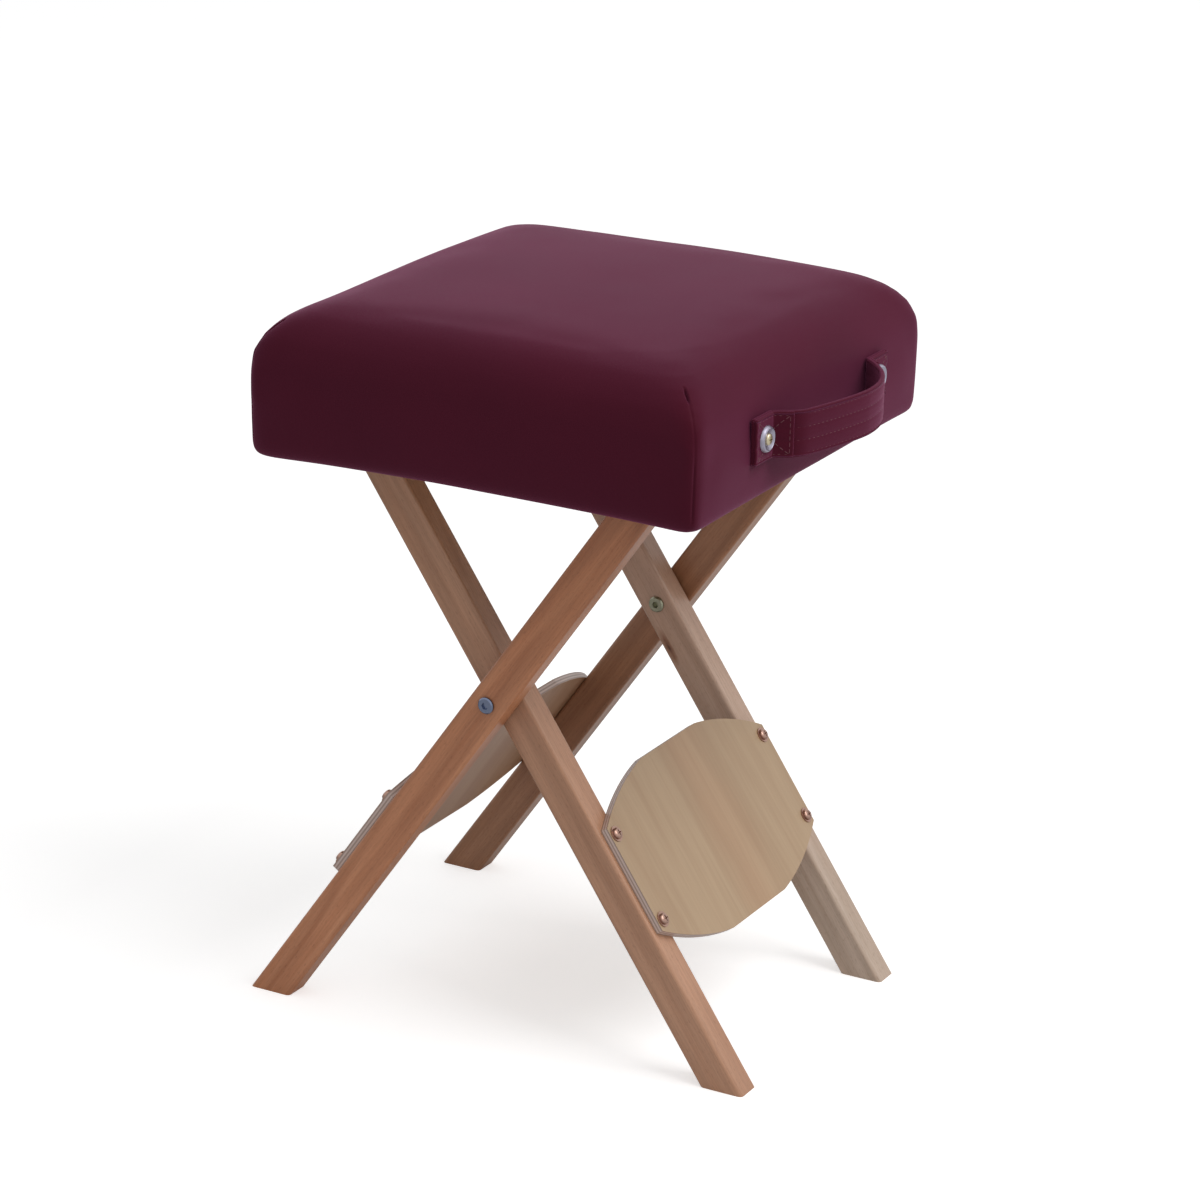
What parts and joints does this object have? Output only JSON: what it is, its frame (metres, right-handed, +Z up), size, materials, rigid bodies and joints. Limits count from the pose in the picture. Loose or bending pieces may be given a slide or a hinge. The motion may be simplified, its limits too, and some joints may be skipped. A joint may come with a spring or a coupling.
{
  "type": "folding stool",
  "caption": "Folding stool with a thick padded square seat, crossed wooden legs, plywood stretcher panels and a strap handle.",
  "frame": {"origin": "floor, midway between the feet and midway across the stool, under the line of the crossing pivots", "axes": "+Z up, +X towards the end with the strap handle and the seat hinge, +Y across the stool towards its back side"},
  "size_m": [0.3715, 0.322, 0.4848],
  "materials": {
    "leg_wood": "clear satin varnish",
    "frame_wood": "bare sanded",
    "plywood": "clear satin varnish",
    "vinyl": "satin fine grain",
    "foam": "open cell",
    "zinc_steel": "bright zinc",
    "brassed_steel": "yellow zinc",
    "coppered_steel": "coppered"
  },
  "bodies": {
    "outer_frame": {"outer_leg_front": "leg_wood", "outer_leg_back": "leg_wood", "outer_panel": "plywood", "outer_panel_washers": "coppered_steel", "outer_panel_screws": "coppered_steel"},
    "inner_frame": {"inner_leg_front": "leg_wood", "inner_leg_back": "leg_wood", "inner_panel": "plywood", "inner_panel_washers": "coppered_steel", "inner_panel_screws": "coppered_steel", "crossbar": "frame_wood", "crossbar_screws": "zinc_steel", "pivot_bolts": "zinc_steel", "pivot_nuts": "brassed_steel", "pivot_spacers": "zinc_steel"},
    "seat": {"seat_board": "plywood", "side_rail_front": "frame_wood", "side_rail_back": "frame_wood", "handle_end_rail": "frame_wood", "stop_end_rail": "frame_wood", "stop_strip": "frame_wood", "stop_screws": "zinc_steel", "rail_screws": "zinc_steel", "hinge_bolts": "zinc_steel", "hinge_inserts": "brassed_steel", "hinge_washers": "zinc_steel", "seat_foam": "foam", "edge_foam": "foam", "seat_cover": "vinyl", "cover_staples": "zinc_steel", "handle_strap": "vinyl", "handle_washers": "zinc_steel", "handle_screws": "brassed_steel"}
  },
  "joints": [
    {"name": "leg_crossing", "type": "hinge", "parent": "outer_frame", "child": "inner_frame", "pos_m": [0, 0, 0.238], "axis": [0, 1, 0], "range_deg": [0, 68]},
    {"name": "seat_hinge", "type": "hinge", "parent": "outer_frame", "child": "seat", "pos_m": [0.12311, 0, 0.41646], "axis": [0, 1, 0], "range_deg": [0, 34]}
  ],
  "couplings": [
    {"joint": "seat_hinge", "follows": "leg_crossing", "ratio": 0.5}
  ]
}
